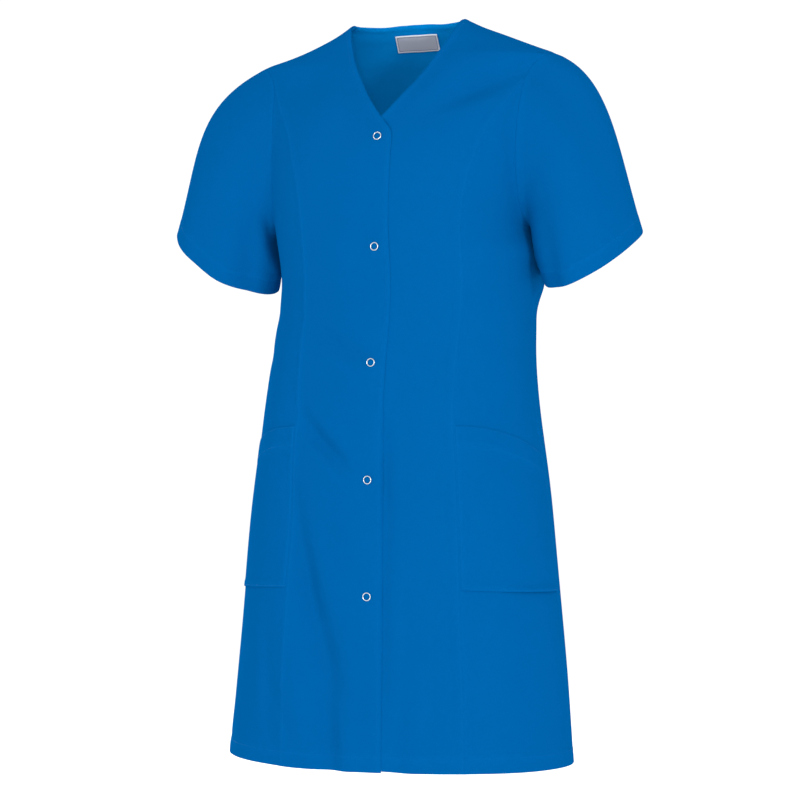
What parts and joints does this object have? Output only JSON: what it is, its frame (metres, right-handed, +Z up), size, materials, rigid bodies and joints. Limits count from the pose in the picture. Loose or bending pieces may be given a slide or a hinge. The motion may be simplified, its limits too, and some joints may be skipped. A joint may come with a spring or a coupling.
{
  "type": "work tunic",
  "caption": "Short-sleeved collarless work tunic with a V neck, panel seams and patch pockets, closed down the front by ring snaps and held open in its worn shape.",
  "frame": {"origin": "middle of the neck opening, at the height of the inner ends of the shoulder seams, where a wearer's neck and shoulders hold the garment", "axes": "+Z up along the wearer's spine, -Y the way the garment faces, +X towards the wearer's left"},
  "size_m": [0.6181, 0.2437, 0.9277],
  "materials": {
    "cloth": "matt royal blue polyester and cotton twill",
    "label": "pale grey woven satin with a darker edge, bare",
    "snap": "polished nickel-plated ring"
  },
  "bodies": {
    "root": {"front_right_centre": "cloth", "front_right_side": "cloth", "front_left_centre": "cloth", "front_left_side": "cloth", "back": "cloth", "sleeve_left": "cloth", "sleeve_right": "cloth", "pocket_left": "cloth", "pocket_right": "cloth", "neck_label": "label", "snap_cap_1": "snap", "snap_cap_2": "snap", "snap_cap_3": "snap", "snap_cap_4": "snap", "snap_cap_5": "snap", "snap_socket_1": "snap", "snap_socket_2": "snap", "snap_socket_3": "snap", "snap_socket_4": "snap", "snap_socket_5": "snap", "snap_back_1": "snap", "snap_back_2": "snap", "snap_back_3": "snap", "snap_back_4": "snap", "snap_back_5": "snap"}
  },
  "joints": []
}
